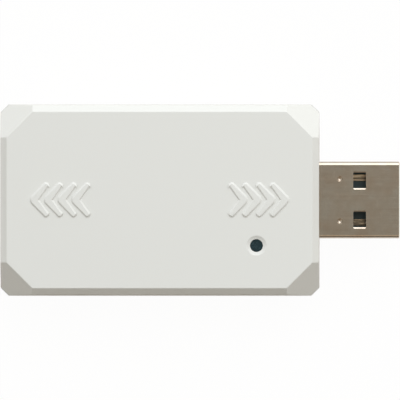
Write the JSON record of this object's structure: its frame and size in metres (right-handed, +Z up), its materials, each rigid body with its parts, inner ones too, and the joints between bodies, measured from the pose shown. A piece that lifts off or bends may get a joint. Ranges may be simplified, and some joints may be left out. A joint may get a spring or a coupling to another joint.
{
  "type": "boiler wifi control module",
  "caption": "Slim faceted plug-in radio module for a boiler: two snapped plastic covers, a standard rectangular plug, boards and radio inside, status window.",
  "frame": {"origin": "centre of the flat face of the bottom cover that the housing rests on", "axes": "+X along the plug, out of the housing; +Z up, from the resting face to the face with the chevrons; +Y to the side away from the status window"},
  "size_m": [0.0624, 0.03, 0.011],
  "materials": {
    "housing": "fine matt moulded",
    "smoked_guide": "smoked, slightly glossy",
    "plug_steel": "plated sheet, satin",
    "plug_plastic": "black moulded",
    "contact_metal": "gold flash",
    "board": "green solder mask",
    "can_metal": "tinned sheet",
    "chip_plastic": "moulded, dark grey",
    "copper": "bare copper",
    "lead_metal": "tinned",
    "capacitor_case": "moulded, ochre",
    "ceramic_body": "matt",
    "lamp_body": "white moulded"
  },
  "bodies": {
    "root": {"top_cover": "housing", "bottom_cover": "housing", "light_guide": "smoked_guide", "usb_shell": "plug_steel", "usb_insulator": "plug_plastic", "usb_contact_power": "contact_metal", "usb_contact_data_minus": "contact_metal", "usb_contact_data_plus": "contact_metal", "usb_contact_ground": "contact_metal", "main_board": "board", "radio_board": "board", "radio_shield_can": "can_metal", "radio_chip": "chip_plastic", "radio_flash_chip": "chip_plastic", "radio_crystal": "can_metal", "radio_antenna": "copper", "voltage_regulator": "chip_plastic", "regulator_leads": "lead_metal", "interface_chip": "chip_plastic", "interface_chip_leads": "lead_metal", "protection_array": "chip_plastic", "protection_array_leads": "lead_metal", "bulk_capacitor": "capacitor_case", "bulk_capacitor_terminals": "lead_metal", "ceramic_capacitors": "ceramic_body", "resistors": "chip_plastic", "supply_ferrite": "chip_plastic", "status_led": "lamp_body"}
  },
  "joints": []
}
